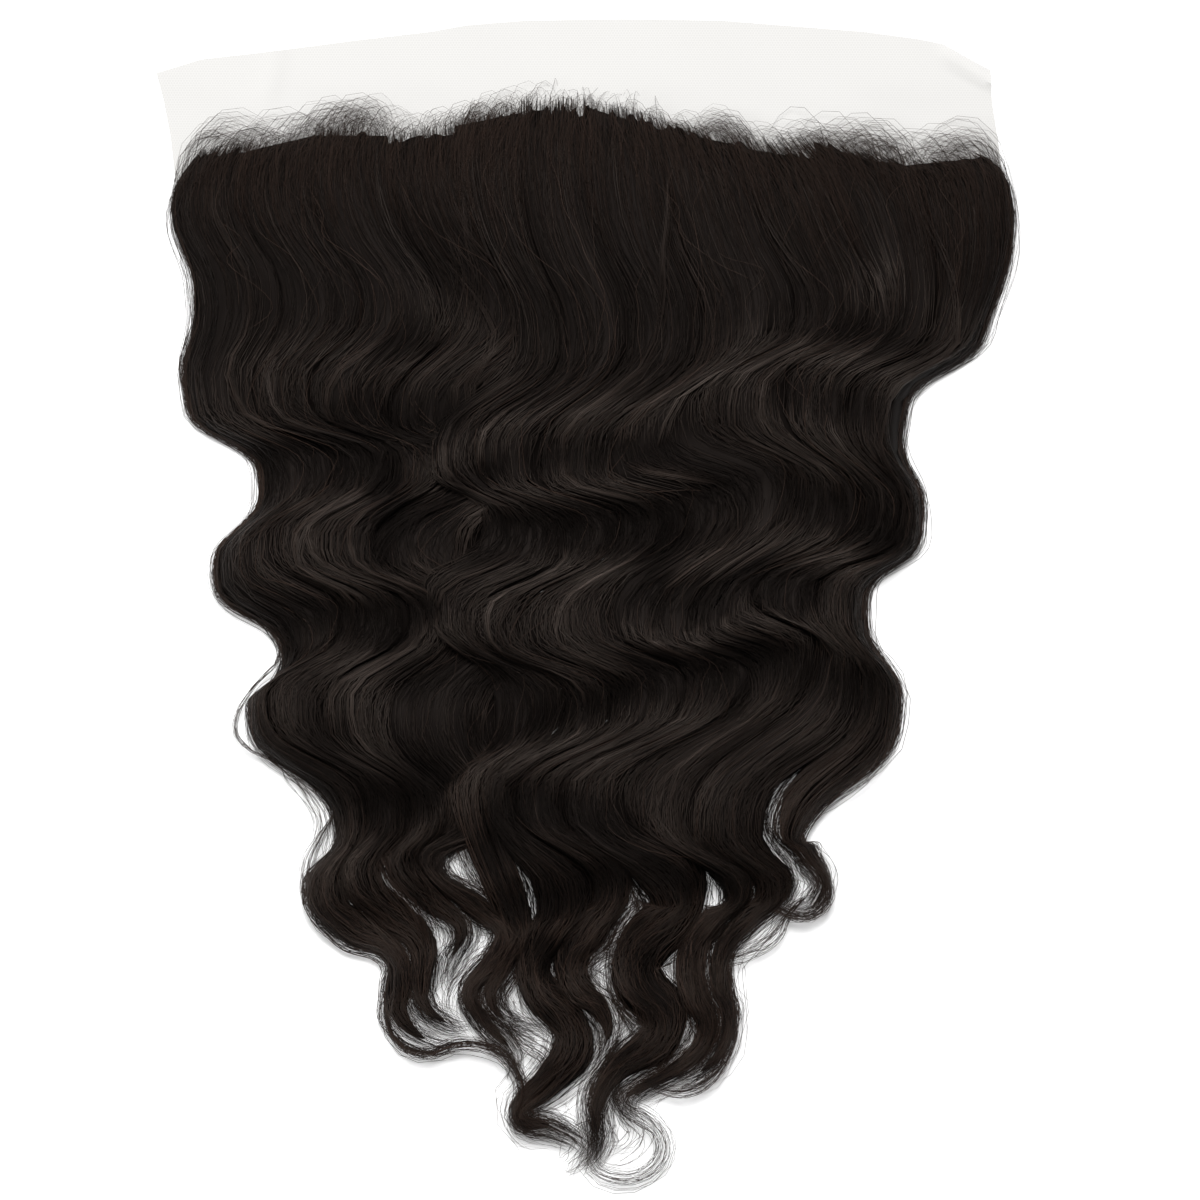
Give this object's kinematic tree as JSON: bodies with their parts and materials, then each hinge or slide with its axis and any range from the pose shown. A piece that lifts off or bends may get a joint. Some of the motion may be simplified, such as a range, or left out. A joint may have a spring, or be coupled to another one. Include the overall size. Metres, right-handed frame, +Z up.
{
  "type": "lace frontal hairpiece",
  "caption": "Ear-to-ear lace frontal hairpiece laid flat: a curved strip of sheer lace with long near-black body-wave hair falling from it in tapering locks.",
  "frame": {"origin": "middle of the base, on the surface the piece lies on", "axes": "+Y along the hair towards the bare lace edge, -Y towards the tips, +X across the lace, +Z up from the surface it lies on"},
  "size_m": [0.3416, 0.4606, 0.0212],
  "materials": {
    "lace": "sheer off-white hexagonal net",
    "hair": "near-black brown hair with a soft silky sheen"
  },
  "bodies": {
    "root": {"lace_base": "lace", "lock_left_edge": "hair", "lock_left_outer": "hair", "lock_left_middle": "hair", "lock_parting": "hair", "lock_centre_left": "hair", "lock_centre": "hair", "lock_centre_right": "hair", "lock_right_inner": "hair", "lock_right_middle": "hair", "lock_right_outer": "hair", "lock_right_edge": "hair"}
  },
  "joints": []
}
